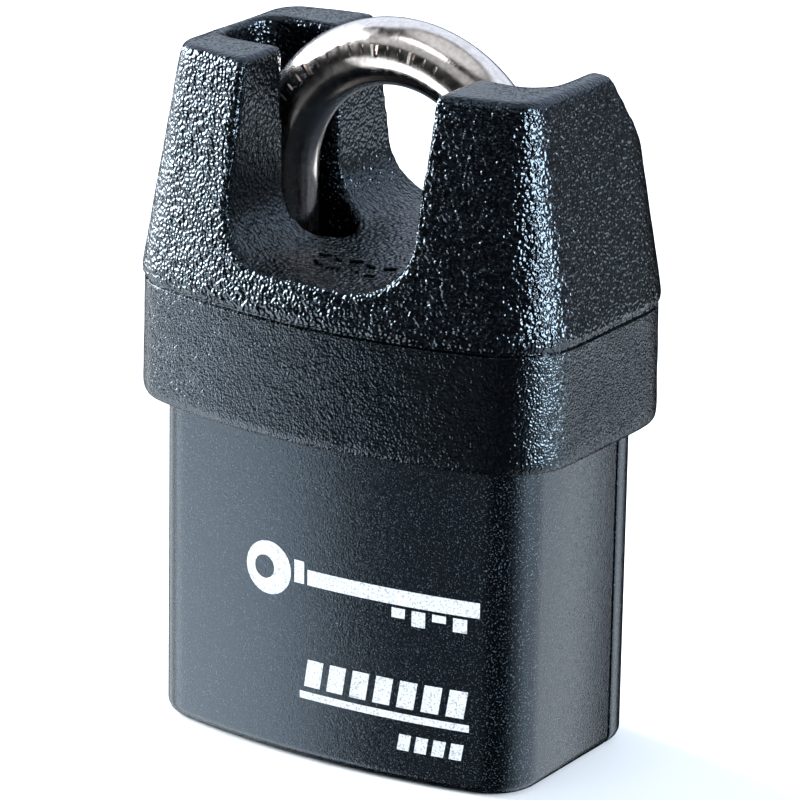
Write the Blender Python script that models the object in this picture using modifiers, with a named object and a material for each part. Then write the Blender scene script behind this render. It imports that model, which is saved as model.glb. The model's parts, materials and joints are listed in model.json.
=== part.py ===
"""Shrouded laminated padlock, built as separate pieces.

Frame: origin under the middle of the body, X across the front, Y from front to back, Z up.
Dimensions are in millimetres and are turned into metres where the meshes are made.
The lock stands closed and unlocked: the plug is turned to open and both balls are drawn in.
"""

import math

import bmesh
import bpy

MM = 0.001
GAP = 0.3

# Shackle: a round bar with the heel leg on the left and the toe leg on the right.
SHACKLE_R = 4.0
LEG_X = 16.5
BOW_Z = 67.05
TOE_END_Z = 42.0
HEEL_END_Z = 20.0
SPRING_Z = 9.1
LIFT = 19.0
LEG_CHAMFER = 0.7
BOW_STEPS = 28
SHACKLE_SPRING_R = 2.9
SHACKLE_SPRING_WIRE = 0.45
SHACKLE_SPRING_TURNS = 7

# Balls and the notches they lock into.
BALL_R = 3.5
BALL_Z = 47.6
BALL_IN = 8.7
BALL_TRAVEL = 1.8
NOTCH_DEPTH = BALL_IN + BALL_TRAVEL + BALL_R - (LEG_X - SHACKLE_R)

# Bowed rectangles: half width, half depth in the middle, bow of the front and back, corner radius.
COVER = (25.85, 17.0, 3.4, 6.4)
BAND_TOP = (29.1, 20.45, 5.6, 9.4)
BAND_LOW = (29.35, 20.75, 5.8, 9.8)
SHOULDER = (29.45, 20.9, 5.8, 9.8)
EAR_TOP = (24.83, 15.25, 3.3, 4.1)

# Heights of the body and the shroud.
SMOOTH_STEPS = 9
COVER_WALL = 1.3
COVER_LIP = 1.2
COVER_LIP_WIDTH = 3.0
COVER_TOP_Z = 54.8
COVER_SEAM_Y = 7.7
EDGE_ROUNDING = ((0.0, 0.7), (0.25, 0.25), (0.8, 0.0))
BAND_Z = 40.55
SHOULDER_Z = 55.45
EAR_TOP_Z = 83.55
SHROUD_ROOF_Z = 55.5
SHOULDER_ROLL = 0.5
EAR_EDGE = 1.0

# Shroud openings.
WINDOW_HALF = 12.9
WINDOW_FLARE = 0.3
WINDOW_FILLET = 7.0
FLOOR_Z = 60.2
HEEL_POCKET_END = -23.2
HEEL_POCKET_HALF = 5.8
HEEL_POCKET_NOSE = -13.2
HEEL_POCKET_CORNER = 4.0
TOE_POCKET_WALL = 21.8
TOE_POCKET_FRONT = -4.6
TOE_POCKET_CORNER = 4.2
REAR_SLOPE_START_Y = 6.0
REAR_SLOPE_END_Y = 26.0
REAR_SLOPE_HIGH_Z = 83.35
REAR_SLOPE_LOW_Z = 70.3
REAR_SLOPE_REACH = 5.5
REAR_SLOPE_POWER = 1.18
REAR_SLOPE_STEPS = 9
LEG_HOLE_R = SHACKLE_R + GAP

# Laminated stack.
PLATES = 13
PLATE_PITCH = 3.85
PLATE_THICK = PLATE_PITCH - 0.27
BOTTOM_Z = COVER_LIP + GAP
BOTTOM_THICK = 3.6
STACK_Z = BOTTOM_Z + BOTTOM_THICK + GAP
BALL_PLATES = (10, 11)
FIRST_HEEL_PLATE = 1
FIRST_TOE_PLATE = 9
LAST_CYLINDER_PLATE = 8

# Rivets.
RIVET_X = 19.6
RIVET_Y = 9.9
RIVET_R = 1.8
RIVET_HEAD_R = 3.2
RIVET_HEAD = 1.4
RIVET_BEVEL = 0.4
RIVET_TOP_Z = 58.9

# Cylinder: a round housing with a block for the pins on its back.
PLUG_R = 6.2
PLUG_BEVEL = 0.5
PLUG_FACE_Z = 0.9
PLUG_END_Z = 38.5
HOUSING_R = 7.9
HOUSING_BLOCK_HALF = 3.7
HOUSING_BLOCK_END = 12.3
HOUSING_END_Z = 38.2
CHAMBERS = 5
CHAMBER_Z = 12.0
CHAMBER_PITCH = 4.6
CHAMBER_R = 1.45
PIN_R = 1.15
KEY_PIN_LENGTHS = (4.3, 3.5, 4.9, 3.1, 4.0)
KEY_PIN_TOP = 6.1
DRIVER_LENGTH = 2.8
PIN_BEVEL = 0.2
KEY_PIN_TIP = 0.8
KEY_PIN_TIP_R = 0.3
PIN_SPRING_R = 0.85
PIN_SPRING_WIRE = 0.18
PIN_SPRING_TURNS = 4
KEYWAY_HALF = 1.1
KEYWAY_LOW = -4.7
KEYWAY_HIGH = 3.4
CHAMBER_COVER_HALF = 2.8
CHAMBER_COVER_THICK = 0.7
CYLINDER_HOLE_R = HOUSING_R + GAP
CYLINDER_SLOT_HALF = HOUSING_BLOCK_HALF + GAP
CYLINDER_SLOT_END = HOUSING_BLOCK_END + CHAMBER_COVER_THICK + 2 * GAP

# Drive from the plug to the balls.
CLIP_Z = 38.8
CLIP_THICK = 0.8
CLIP_R = 7.3
TAILPIECE_HALF = (2.6, 1.0)
TAILPIECE_Z = (37.0, 46.6)
TAILPIECE_HOLE_R = 3.4
CAM_Z = (44.2, 51.0)
CAM_CLEARANCE = 0.2
CAM_R = BALL_IN + BALL_TRAVEL - BALL_R - CAM_CLEARANCE
CAM_CAVITY_R = 7.5

# Retaining screw under the toe leg, and the plate it holds.
SCREW_R = 1.5
SCREW_HEAD_R = 2.8
SCREW_HEAD_Z = (36.6, 39.3)
SCREW_END_Z = 2.2
SCREW_BEVEL = 0.4
SOCKET_R = 1.5
SOCKET_DEPTH = 1.6
RETAINER_ARM_HALF = 3.3

# How far a cutter runs past the material it opens, and the same on the shackle's legs.
PAST = 2.0
LEG_PAST = 1.0

# Looks: colour, roughness and metallic value.
PAINT = ((0.022, 0.024, 0.03), 0.36, 0.0)
PLASTIC = ((0.03, 0.031, 0.035), 0.45, 0.0)
PLATING = ((0.78, 0.75, 0.7), 0.12, 1.0)
STEEL = ((0.46, 0.45, 0.43), 0.38, 1.0)
BRASS = ((0.72, 0.53, 0.24), 0.32, 1.0)
SPRING_STEEL = ((0.55, 0.55, 0.56), 0.3, 1.0)
SHARP_ANGLE = math.radians(35)
WELD = 0.00001


# ---------------------------------------------------------------- scene and materials

def clear_scene():
    for old in list(bpy.data.objects):
        bpy.data.objects.remove(old, do_unlink=True)


def make_collection(name):
    collection = bpy.data.collections.new(name)
    bpy.context.scene.collection.children.link(collection)
    return collection


def make_material(name, colour, roughness, metallic):
    material = bpy.data.materials.new(name)
    material.use_nodes = True
    shader = material.node_tree.nodes["Principled BSDF"]
    shader.inputs["Base Color"].default_value = (*colour, 1.0)
    shader.inputs["Roughness"].default_value = roughness
    shader.inputs["Metallic"].default_value = metallic
    return material


def add_object(name, mesh, look=None, collection=None):
    """Link a mesh as an object. A look makes it a piece of the model, and no look makes it a cutter."""
    made = bpy.data.objects.new(name, mesh)
    mesh.shade_smooth()
    mesh.set_sharp_from_angle(angle=SHARP_ANGLE)
    if look is None:
        cutters.objects.link(made)
        made.hide_render = True
        made.display_type = "WIRE"
    else:
        mesh.materials.append(make_material(name, *look))
        model.objects.link(made)
    return made


# ---------------------------------------------------------------- outlines

def arc(cx, cy, radius, start, end, steps):
    """Points on an arc, angles in degrees, both ends included."""
    points = []
    for i in range(steps + 1):
        angle = math.radians(start + (end - start) * i / steps)
        points.append((cx + radius * math.cos(angle), cy + radius * math.sin(angle)))
    return points


def bowed_outline(half_w, half_d, bow, corner, front_steps=6, corner_steps=7):
    """Anticlockwise rectangle with bowed front and back and rounded corners."""
    radius = (half_w ** 2 + bow ** 2) / (2 * bow)
    centre_y = radius - half_d
    corner_x = half_w - corner
    corner_y = centre_y - math.sqrt((radius - corner) ** 2 - corner_x ** 2)
    turn = math.degrees(math.atan2(corner_x, centre_y - corner_y))
    quarter = arc(0, centre_y, radius, -90, -90 + turn, front_steps)
    quarter += arc(corner_x, corner_y, corner, -90 + turn, 0, corner_steps)[1:]
    back = [(x, -y) for x, y in reversed(quarter)]
    right = quarter + back
    left = [(-x, y) for x, y in reversed(right)]
    return right + left[1:-1]


def inset(shape, amount):
    """Bowed rectangle moved inwards by a wall thickness."""
    half_w, half_d, bow, corner = shape
    radius = (half_w ** 2 + bow ** 2) / (2 * bow) - amount
    inner_w = half_w - amount
    inner_bow = radius - math.sqrt(radius ** 2 - inner_w ** 2)
    return (inner_w, half_d - amount, inner_bow, corner - amount)


def keyhole_outline(radius, slot_half, slot_end, arm_half=0.0, arm_end=0.0):
    """Circle with a slot to +Y and, if arm_end is given, a round-ended arm to +X."""
    slot_turn = math.degrees(math.acos(slot_half / radius))
    if arm_end:
        arm_turn = math.degrees(math.asin(arm_half / radius))
        points = arc(arm_end, 0, arm_half, -90, 90, 8)
        points += arc(0, 0, radius, arm_turn, slot_turn, 4)
        last_turn = 360 - arm_turn
    else:
        points = arc(0, 0, radius, 0, slot_turn, 5)
        last_turn = 360 - 360 / 24
    points += [(slot_half, slot_end), (-slot_half, slot_end)]
    points += arc(0, 0, radius, 180 - slot_turn, last_turn, 16)
    return points


def ball_cavity_outline():
    """Both leg holes joined by the balls' slot, with the cam's round space in the middle."""
    half = BALL_R + GAP
    middle_turn = math.degrees(math.asin(half / CAM_CAVITY_R))
    leg_turn = math.degrees(math.asin(half / LEG_HOLE_R))
    points = arc(LEG_X, 0, LEG_HOLE_R, leg_turn - 180, 180 - leg_turn, 16)
    points += arc(0, 0, CAM_CAVITY_R, middle_turn, 180 - middle_turn, 10)
    points += arc(-LEG_X, 0, LEG_HOLE_R, leg_turn, 360 - leg_turn, 16)
    points += arc(0, 0, CAM_CAVITY_R, 180 + middle_turn, 360 - middle_turn, 10)
    return points


# ---------------------------------------------------------------- solids

def loft(name, levels, look=None):
    """Closed body through rings of points, one (height, outline) pair per ring, bottom first."""
    mesh = bpy.data.meshes.new(name)
    shape = bmesh.new()
    rings = []
    for height, outline in levels:
        rings.append([shape.verts.new((x * MM, y * MM, height * MM)) for x, y in outline])
    count = len(rings[0])
    for low, high in zip(rings, rings[1:]):
        for i in range(count):
            j = (i + 1) % count
            shape.faces.new((low[i], low[j], high[j], high[i]))
    shape.faces.new(list(reversed(rings[0])))
    shape.faces.new(rings[-1])
    shape.to_mesh(mesh)
    shape.free()
    return add_object(name, mesh, look)


def plate(name, outer, holes, low_z, thickness, look=None):
    """Flat plate from a filled curve with holes, turned into a closed mesh."""
    curve = bpy.data.curves.new(name, "CURVE")
    curve.dimensions = "2D"
    curve.fill_mode = "BOTH"
    curve.extrude = thickness / 2 * MM
    for points in [outer] + holes:
        spline = curve.splines.new("POLY")
        spline.points.add(len(points) - 1)
        for point, (x, y) in zip(spline.points, points):
            point.co = (x * MM, y * MM, 0, 1)
        spline.use_cyclic_u = True
    made = mesh_from_curve(name, curve, look)
    for vertex in made.data.vertices:
        vertex.co.z += (low_z + thickness / 2) * MM
    return made


def prism(name, outline, low_z, high_z):
    """Cutter with straight walls that stands on an outline."""
    return plate(name, outline, [], low_z, high_z - low_z)


def mesh_from_curve(name, curve, look):
    """Evaluate a curve, weld its caps and link the mesh."""
    source = bpy.data.objects.new(name + "_curve", curve)
    model.objects.link(source)
    graph = bpy.context.evaluated_depsgraph_get()
    mesh = bpy.data.meshes.new_from_object(source.evaluated_get(graph))
    mesh.name = name
    bpy.data.objects.remove(source, do_unlink=True)
    shape = bmesh.new()
    shape.from_mesh(mesh)
    bmesh.ops.remove_doubles(shape, verts=shape.verts, dist=WELD)
    bmesh.ops.recalc_face_normals(shape, faces=shape.faces)
    shape.to_mesh(mesh)
    shape.free()
    mesh.materials.clear()
    return add_object(name, mesh, look)


def bar(name, points, radius, look, sides=2):
    """Round bar along a line of points."""
    curve = bpy.data.curves.new(name, "CURVE")
    curve.dimensions = "3D"
    curve.bevel_depth = radius * MM
    curve.bevel_resolution = sides
    curve.use_fill_caps = True
    spline = curve.splines.new("POLY")
    spline.points.add(len(points) - 1)
    for point, (x, y, z) in zip(spline.points, points):
        point.co = (x * MM, y * MM, z * MM, 1)
    return mesh_from_curve(name, curve, look)


def turned(name, profile, steps, look=None):
    """Body of revolution about Z from (radius, height) points, listed from the top down."""
    mesh = bpy.data.meshes.new(name)
    points = [(radius * MM, 0, height * MM) for radius, height in profile]
    edges = [(i, i + 1) for i in range(len(points) - 1)]
    mesh.from_pydata(points, edges, [])
    made = add_object(name, mesh, look)
    screw = made.modifiers.new("turn", "SCREW")
    screw.axis = "Z"
    screw.steps = steps
    screw.render_steps = steps
    screw.use_merge_vertices = True
    screw.merge_threshold = WELD
    return made


def round_bodies(name, centres, axis, radius, length, steps, look=None):
    """One mesh of equal cylinders, each starting at a centre and running along +X, +Y or +Z."""
    shape = bmesh.new()
    for centre in centres:
        made = bmesh.ops.create_cone(
            shape, cap_ends=True, segments=steps, radius1=radius * MM, radius2=radius * MM, depth=length * MM
        )
        for vertex in made["verts"]:
            x, y, z = vertex.co
            z += length / 2 * MM
            if axis == "Y":
                x, y, z = x, z, -y
            if axis == "X":
                x, y, z = z, y, -x
            vertex.co = (x + centre[0] * MM, y + centre[1] * MM, z + centre[2] * MM)
    mesh = bpy.data.meshes.new(name)
    shape.to_mesh(mesh)
    shape.free()
    return add_object(name, mesh, look)


def box(name, low, high, look=None):
    """Box between two opposite corners."""
    shape = bmesh.new()
    bmesh.ops.create_cube(shape, size=1.0)
    for vertex in shape.verts:
        vertex.co = tuple((a + (b - a) * (c + 0.5)) * MM for a, b, c in zip(low, high, vertex.co))
    mesh = bpy.data.meshes.new(name)
    shape.to_mesh(mesh)
    shape.free()
    return add_object(name, mesh, look)


def ball(name, centre, radius, look=None, steps=20):
    shape = bmesh.new()
    bmesh.ops.create_uvsphere(shape, u_segments=steps, v_segments=steps // 2, radius=radius * MM)
    mesh = bpy.data.meshes.new(name)
    shape.to_mesh(mesh)
    shape.free()
    made = add_object(name, mesh, look)
    made.location = tuple(value * MM for value in centre)
    return made


def cut(target, *tools):
    for tool in tools:
        modifier = target.modifiers.new(tool.name, "BOOLEAN")
        modifier.operation = "DIFFERENCE"
        modifier.solver = "EXACT"
        modifier.object = tool


def coil(name, centre, axis, radius, wire, length, turns, steps):
    """Compression spring of round wire that starts at a centre and runs along +Y or +Z."""
    points = []
    count = int(turns * steps)
    for i in range(count + 1):
        angle = 2 * math.pi * i / steps
        along = wire + (length - 2 * wire) * i / count
        x, y = radius * math.cos(angle), radius * math.sin(angle)
        offset = (x, y, along) if axis == "Z" else (x, along, y)
        points.append(tuple(c + o for c, o in zip(centre, offset)))
    return bar(name, points, wire, SPRING_STEEL)


# ---------------------------------------------------------------- shroud

def make_shroud():
    """Cast cap: a band round the body, two tapered ears and a channel between them."""
    levels = [(BAND_Z + rise, inset(BAND_LOW, step)) for rise, step in EDGE_ROUNDING]
    levels += [
        (SHOULDER_Z - SHOULDER_ROLL, BAND_TOP),
        (SHOULDER_Z, inset(SHOULDER, 0.2 * SHOULDER_ROLL)),
        (SHOULDER_Z + SHOULDER_ROLL, SHOULDER),
        (SHOULDER_Z + 3 * SHOULDER_ROLL, inset(SHOULDER, 0.3 * SHOULDER_ROLL)),
        (EAR_TOP_Z - EAR_EDGE, EAR_TOP),
        (EAR_TOP_Z - 0.3 * EAR_EDGE, inset(EAR_TOP, 0.3 * EAR_EDGE)),
        (EAR_TOP_Z, inset(EAR_TOP, EAR_EDGE)),
    ]
    shroud = loft("shroud", bowed_levels(levels), PAINT)
    cut(shroud, body_space_cutter(), window_cutter(), heel_pocket_cutter())
    cut(shroud, toe_pocket_cutter(), toe_hole_cutter(), rear_slope_cutter(), shroud_rivet_cutter())
    return shroud


def bowed_levels(levels):
    """Turn (height, bowed rectangle) pairs into (height, outline) pairs for a loft."""
    return [(height, bowed_outline(*shape, front_steps=SMOOTH_STEPS)) for height, shape in levels]


def body_space_cutter():
    """Room for the body inside the band."""
    space = bowed_outline(*inset(COVER, -GAP), front_steps=SMOOTH_STEPS)
    return prism("body_space_cutter", space, BAND_Z - PAST, SHROUD_ROOF_Z)


def window_cutter():
    """U-shaped channel from front to back."""
    fillet = WINDOW_FILLET
    low_x = WINDOW_HALF - fillet
    top_x = WINDOW_HALF + WINDOW_FLARE
    points = [(-top_x, EAR_TOP_Z + PAST)]
    points += arc(-low_x, FLOOR_Z + fillet, fillet, 180, 270, 8)
    points += arc(low_x, FLOOR_Z + fillet, fillet, 270, 360, 8)
    points += [(top_x, EAR_TOP_Z + PAST)]
    reach = SHOULDER[1] + PAST
    cutter = prism("window_cutter", points, -reach, reach)
    cutter.rotation_euler = (math.radians(90), 0, 0)
    return cutter


def heel_pocket_cutter():
    """Upright round-nosed slot that holds the heel leg and runs down through the floor."""
    half = HEEL_POCKET_HALF
    corner = HEEL_POCKET_CORNER
    points = arc(HEEL_POCKET_NOSE, 0, half, -90, 90, 12)
    points += arc(HEEL_POCKET_END + corner, half - corner, corner, 90, 180, 5)
    points += arc(HEEL_POCKET_END + corner, corner - half, corner, 180, 270, 5)
    return prism("heel_pocket_cutter", points, SHROUD_ROOF_Z - PAST, EAR_TOP_Z + PAST)


def toe_pocket_cutter():
    """Recess for the toe leg, open to the back so that the lifted toe can swing out."""
    corner = TOE_POCKET_CORNER
    inner_x = WINDOW_HALF - 2 * PAST
    back_y = SHOULDER[1] + PAST
    points = [(inner_x, back_y), (inner_x, TOE_POCKET_FRONT)]
    points += arc(TOE_POCKET_WALL - corner, TOE_POCKET_FRONT + corner, corner, -90, 0, 6)
    points += [(TOE_POCKET_WALL, back_y)]
    return prism("toe_pocket_cutter", points, FLOOR_Z, EAR_TOP_Z + PAST)


def toe_hole_cutter():
    """Hole that lets the toe leg through the floor."""
    start = SHROUD_ROOF_Z - PAST
    return round_bodies(
        "toe_hole_cutter", [(LEG_X, 0, start)], "Z", LEG_HOLE_R, FLOOR_Z + PAST - start, 24
    )


def rear_slope_cutter():
    """Lowered back edge of the toe ear's side wall, a slope that eases out as it falls."""
    run = REAR_SLOPE_END_Y - REAR_SLOPE_START_Y
    fall = REAR_SLOPE_HIGH_Z - REAR_SLOPE_LOW_Z
    points = [(REAR_SLOPE_START_Y, EAR_TOP_Z + PAST)]
    for i in range(REAR_SLOPE_STEPS + 1):
        along = run * i / REAR_SLOPE_STEPS
        left = math.exp(-(along / REAR_SLOPE_REACH) ** REAR_SLOPE_POWER)
        points.append((REAR_SLOPE_START_Y + along, REAR_SLOPE_LOW_Z + fall * left))
    points += [(REAR_SLOPE_END_Y, EAR_TOP_Z + PAST)]
    cutter = prism("rear_slope_cutter", points, WINDOW_HALF - PAST, SHOULDER[0] + PAST)
    cutter.rotation_euler = (math.radians(90), 0, math.radians(90))
    return cutter


def rivet_places(z):
    """The four rivet centres at one height."""
    return [(x, y, z) for y in (-RIVET_Y, RIVET_Y) for x in (-RIVET_X, RIVET_X)]


def shroud_rivet_cutter():
    """Blind holes for the rivets' upper ends."""
    start = SHROUD_ROOF_Z - PAST
    centres = rivet_places(start)
    return round_bodies("shroud_rivet_cutter", centres, "Z", RIVET_R + GAP, RIVET_TOP_Z + GAP - start, 12)


# ---------------------------------------------------------------- covers, plates and rivets

def make_cover(name, keep_front):
    """Half of the moulded cover: a wall round the plates with a lip under them."""
    levels = [(rise, inset(COVER, step)) for rise, step in EDGE_ROUNDING] + [(COVER_TOP_Z, COVER)]
    cover = loft(name, bowed_levels(levels), PLASTIC)
    room = bowed_outline(*inset(COVER, COVER_WALL), front_steps=SMOOTH_STEPS)
    mouth = bowed_outline(*inset(COVER, COVER_WALL + COVER_LIP_WIDTH), front_steps=SMOOTH_STEPS)
    room_cutter = prism(name + "_room_cutter", room, COVER_LIP, COVER_TOP_Z + PAST)
    mouth_cutter = prism(name + "_mouth_cutter", mouth, -PAST, COVER_LIP + PAST)
    side, back, top = COVER[0] + PAST, COVER[1] + PAST, COVER_TOP_Z + 2 * PAST
    if keep_front:
        low, high = (-side, COVER_SEAM_Y, -PAST), (side, back, top)
    else:
        low, high = (-side, -back, -PAST), (side, COVER_SEAM_Y + GAP, top)
    cut(cover, box(name + "_half_cutter", low, high), room_cutter, mouth_cutter)
    return cover


def rivet_holes(radius):
    return [full_circle(x, y, radius, 8) for x, y, _ in rivet_places(0)]


def plate_outline():
    return bowed_outline(*inset(COVER, COVER_WALL + GAP), front_steps=4, corner_steps=4)


def full_circle(cx, cy, radius, steps):
    return arc(cx, cy, radius, 0, 360 - 360 / steps, steps - 1)


def make_lamination(index):
    """One plate of the stack, with the holes that its height calls for."""
    holes = rivet_holes(RIVET_R + GAP)
    if index in BALL_PLATES:
        holes.append(ball_cavity_outline())
    else:
        if index >= FIRST_HEEL_PLATE:
            holes.append(full_circle(-LEG_X, 0, LEG_HOLE_R, 16))
        if index >= FIRST_TOE_PLATE:
            holes.append(full_circle(LEG_X, 0, LEG_HOLE_R, 16))
        elif index == LAST_CYLINDER_PLATE:
            holes.append(full_circle(LEG_X, 0, SCREW_HEAD_R + GAP, 12))
        else:
            holes.append(full_circle(LEG_X, 0, SCREW_R + GAP, 8))
        if index <= LAST_CYLINDER_PLATE:
            holes.append(keyhole_outline(CYLINDER_HOLE_R, CYLINDER_SLOT_HALF, CYLINDER_SLOT_END))
        elif index == LAST_CYLINDER_PLATE + 1:
            holes.append(full_circle(0, 0, TAILPIECE_HOLE_R, 14))
    low_z = STACK_Z + index * PLATE_PITCH
    return plate(f"lamination_{index + 1:02d}", plate_outline(), holes, low_z, PLATE_THICK, STEEL)


def retainer_outline(clearance):
    return keyhole_outline(
        CYLINDER_HOLE_R - GAP + clearance,
        CYLINDER_SLOT_HALF - GAP + clearance,
        CYLINDER_SLOT_END - GAP + clearance,
        RETAINER_ARM_HALF + clearance,
        LEG_X,
    )


def make_bottom_plate():
    """Thick plate under the stack, open where the cylinder and its retainer come out."""
    holes = rivet_holes(RIVET_R + GAP) + [retainer_outline(GAP)]
    bottom = plate("bottom_plate", plate_outline(), holes, BOTTOM_Z, BOTTOM_THICK, STEEL)
    depth = PAST + RIVET_HEAD + 2 * GAP
    cut(bottom, round_bodies(
        "rivet_head_cutter", rivet_places(BOTTOM_Z - PAST), "Z", RIVET_HEAD_R + GAP, depth, 14
    ))
    return bottom


def make_retainer():
    """Plate that closes the cylinder's hole round the plug and takes the end of the screw."""
    holes = [full_circle(0, 0, PLUG_R + GAP, 28), full_circle(LEG_X, 0, SCREW_R + GAP, 12)]
    return plate("cylinder_retainer", retainer_outline(0.0), holes, BOTTOM_Z, BOTTOM_THICK, STEEL)


def make_rivet(name, x, y):
    """Rivet with a bevelled head sunk in the bottom plate."""
    head_low = BOTTOM_Z + GAP
    head_high = head_low + RIVET_HEAD
    profile = [
        (0, RIVET_TOP_Z),
        (RIVET_R - RIVET_BEVEL, RIVET_TOP_Z),
        (RIVET_R, RIVET_TOP_Z - RIVET_BEVEL),
        (RIVET_R, head_high),
        (RIVET_HEAD_R, head_high),
        (RIVET_HEAD_R, head_low + 1.5 * RIVET_BEVEL),
        (RIVET_HEAD_R - 2 * RIVET_BEVEL, head_low),
        (0, head_low),
    ]
    rivet = turned(name, profile, 14, STEEL)
    rivet.location = (x * MM, y * MM, 0)
    return rivet


# ---------------------------------------------------------------- shackle

def make_shackle():
    """Bent bar with a ball notch in each leg, and a flat and a groove that let the heel leg rise."""
    points = [(-LEG_X, 0, HEEL_END_Z)]
    for x, z in arc(0, BOW_Z, LEG_X, 180, 0, BOW_STEPS):
        points.append((x, 0, z))
    points.append((LEG_X, 0, TOE_END_Z))
    shackle = bar("shackle", points, SHACKLE_R, PLATING, sides=6)
    cut(shackle, notch_cutter("toe_notch_cutter", LEG_X), notch_cutter("heel_notch_cutter", -LEG_X))
    cut(shackle, heel_flat_cutter(), heel_groove_cutter())
    cut(shackle, end_cutter("toe_end_cutter", LEG_X, TOE_END_Z))
    cut(shackle, end_cutter("heel_end_cutter", -LEG_X, HEEL_END_Z))
    return shackle


def notch_cutter(name, leg_x):
    """Ball that stands where the locking ball does when it is out."""
    locked_x = math.copysign(BALL_IN + BALL_TRAVEL, leg_x)
    return ball(name, (locked_x, 0, BALL_Z), BALL_R + GAP)


def heel_flat_cutter():
    """Flat on the heel leg's inner side, from the notch down to the groove."""
    face = -LEG_X + SHACKLE_R - NOTCH_DEPTH - GAP
    reach = SHACKLE_R + LEG_PAST
    return box("heel_flat_cutter", (face, -reach, BALL_Z - LIFT), (face + reach, reach, BALL_Z))


def heel_groove_cutter():
    """Groove round the heel leg that is level with the ball when the shackle is fully up."""
    middle = BALL_Z - LIFT
    half = BALL_R + GAP
    neck = SHACKLE_R - NOTCH_DEPTH - GAP
    profile = [
        (neck, middle + half - NOTCH_DEPTH),
        (SHACKLE_R + LEG_PAST, middle + half + LEG_PAST),
        (SHACKLE_R + LEG_PAST, middle - half - LEG_PAST),
        (neck, middle - half + NOTCH_DEPTH),
        (neck, middle + half - NOTCH_DEPTH),
    ]
    groove = turned("heel_groove_cutter", profile, 28)
    groove.location = (-LEG_X * MM, 0, 0)
    return groove


def end_cutter(name, leg_x, end_z):
    """Ring that chamfers the end of a leg."""
    inner = SHACKLE_R - LEG_CHAMFER
    outer = SHACKLE_R + LEG_PAST
    profile = [
        (inner, end_z - LEG_PAST),
        (inner, end_z),
        (outer, end_z + outer - inner),
        (outer, end_z - LEG_PAST),
        (inner, end_z - LEG_PAST),
    ]
    ring = turned(name, profile, 28)
    ring.location = (leg_x * MM, 0, 0)
    return ring


# ---------------------------------------------------------------- cylinder

def chamber_heights():
    return [CHAMBER_Z + i * CHAMBER_PITCH for i in range(CHAMBERS)]


def make_housing():
    """Cylinder housing with a bore for the plug and a row of pin chambers in its block."""
    outer = keyhole_outline(HOUSING_R, HOUSING_BLOCK_HALF, HOUSING_BLOCK_END)
    bore = full_circle(0, 0, PLUG_R + GAP, 32)
    housing = plate("cylinder_housing", outer, [bore], STACK_Z, HOUSING_END_Z - STACK_Z, BRASS)
    start = PLUG_R - PAST
    centres = [(0, start, z) for z in chamber_heights()]
    depth = HOUSING_BLOCK_END + PAST - start
    cut(housing, round_bodies("housing_chamber_cutter", centres, "Y", CHAMBER_R, depth, 12))
    return housing


def make_plug():
    """Plug turned to open: its chambers point to +X and its keyway lies along X."""
    profile = [
        (0, PLUG_END_Z),
        (PLUG_R, PLUG_END_Z),
        (PLUG_R, PLUG_FACE_Z + PLUG_BEVEL),
        (PLUG_R - PLUG_BEVEL, PLUG_FACE_Z),
        (0, PLUG_FACE_Z),
    ]
    plug = turned("plug", profile, 32, BRASS)
    keyway = box(
        "keyway_cutter",
        (KEYWAY_LOW, -KEYWAY_HALF, PLUG_FACE_Z - PAST),
        (KEYWAY_HIGH, KEYWAY_HALF, chamber_heights()[-1] + 2 * CHAMBER_R),
    )
    centres = [(CHAMBER_R, 0, z) for z in chamber_heights()]
    chambers = round_bodies("plug_chamber_cutter", centres, "X", CHAMBER_R, PLUG_R, 12)
    half_x, half_y = TAILPIECE_HALF
    slot = box(
        "plug_slot_cutter",
        (-half_x - GAP, -half_y - GAP, TAILPIECE_Z[0] - GAP),
        (half_x + GAP, half_y + GAP, PLUG_END_Z + PAST),
    )
    cut(plug, keyway, chambers, slot)
    return plug


def make_pins():
    """Key pins in the plug, driver pins and springs in the housing, one of each per chamber."""
    driver_top = PLUG_R + 2 * GAP + DRIVER_LENGTH
    spring_start = driver_top + GAP / 3
    spring_length = HOUSING_BLOCK_END + GAP * 2 / 3 - spring_start
    for number, (z, length) in enumerate(zip(chamber_heights(), KEY_PIN_LENGTHS), start=1):
        key_pin = make_pin(f"key_pin_{number}", length, KEY_PIN_TIP, KEY_PIN_TIP_R)
        key_pin.location = (KEY_PIN_TOP * MM, 0, z * MM)
        key_pin.rotation_euler = (0, math.radians(90), 0)
        driver = make_pin(f"driver_pin_{number}", DRIVER_LENGTH, PIN_BEVEL, PIN_R - PIN_BEVEL)
        driver.location = (0, driver_top * MM, z * MM)
        driver.rotation_euler = (math.radians(-90), 0, 0)
        coil(
            f"pin_spring_{number}", (0, spring_start, z), "Y", PIN_SPRING_R, PIN_SPRING_WIRE,
            spring_length, PIN_SPRING_TURNS, steps=7
        )


def make_pin(name, length, tip, tip_r):
    """Pin that hangs down from its top face to a tapered end."""
    profile = [
        (0, 0),
        (PIN_R - PIN_BEVEL, 0),
        (PIN_R, -PIN_BEVEL),
        (PIN_R, tip - length),
        (tip_r, -length),
        (0, -length),
    ]
    return turned(name, profile, 12, BRASS)


def make_chamber_cover():
    """Strip that closes the outer ends of the pin chambers."""
    half = CHAMBER_COVER_HALF
    low_y = HOUSING_BLOCK_END + GAP
    heights = chamber_heights()
    return box(
        "chamber_cover",
        (-half, low_y, heights[0] - half),
        (half, low_y + CHAMBER_COVER_THICK, heights[-1] + half),
        BRASS,
    )


def make_clip():
    """Washer on the plug's inner end, with a slot for the tailpiece."""
    half_x, half_y = (value + GAP for value in TAILPIECE_HALF)
    slot = [(-half_x, -half_y), (half_x, -half_y), (half_x, half_y), (-half_x, half_y)]
    return plate("plug_clip", full_circle(0, 0, CLIP_R, 28), [slot], CLIP_Z, CLIP_THICK, STEEL)


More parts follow.
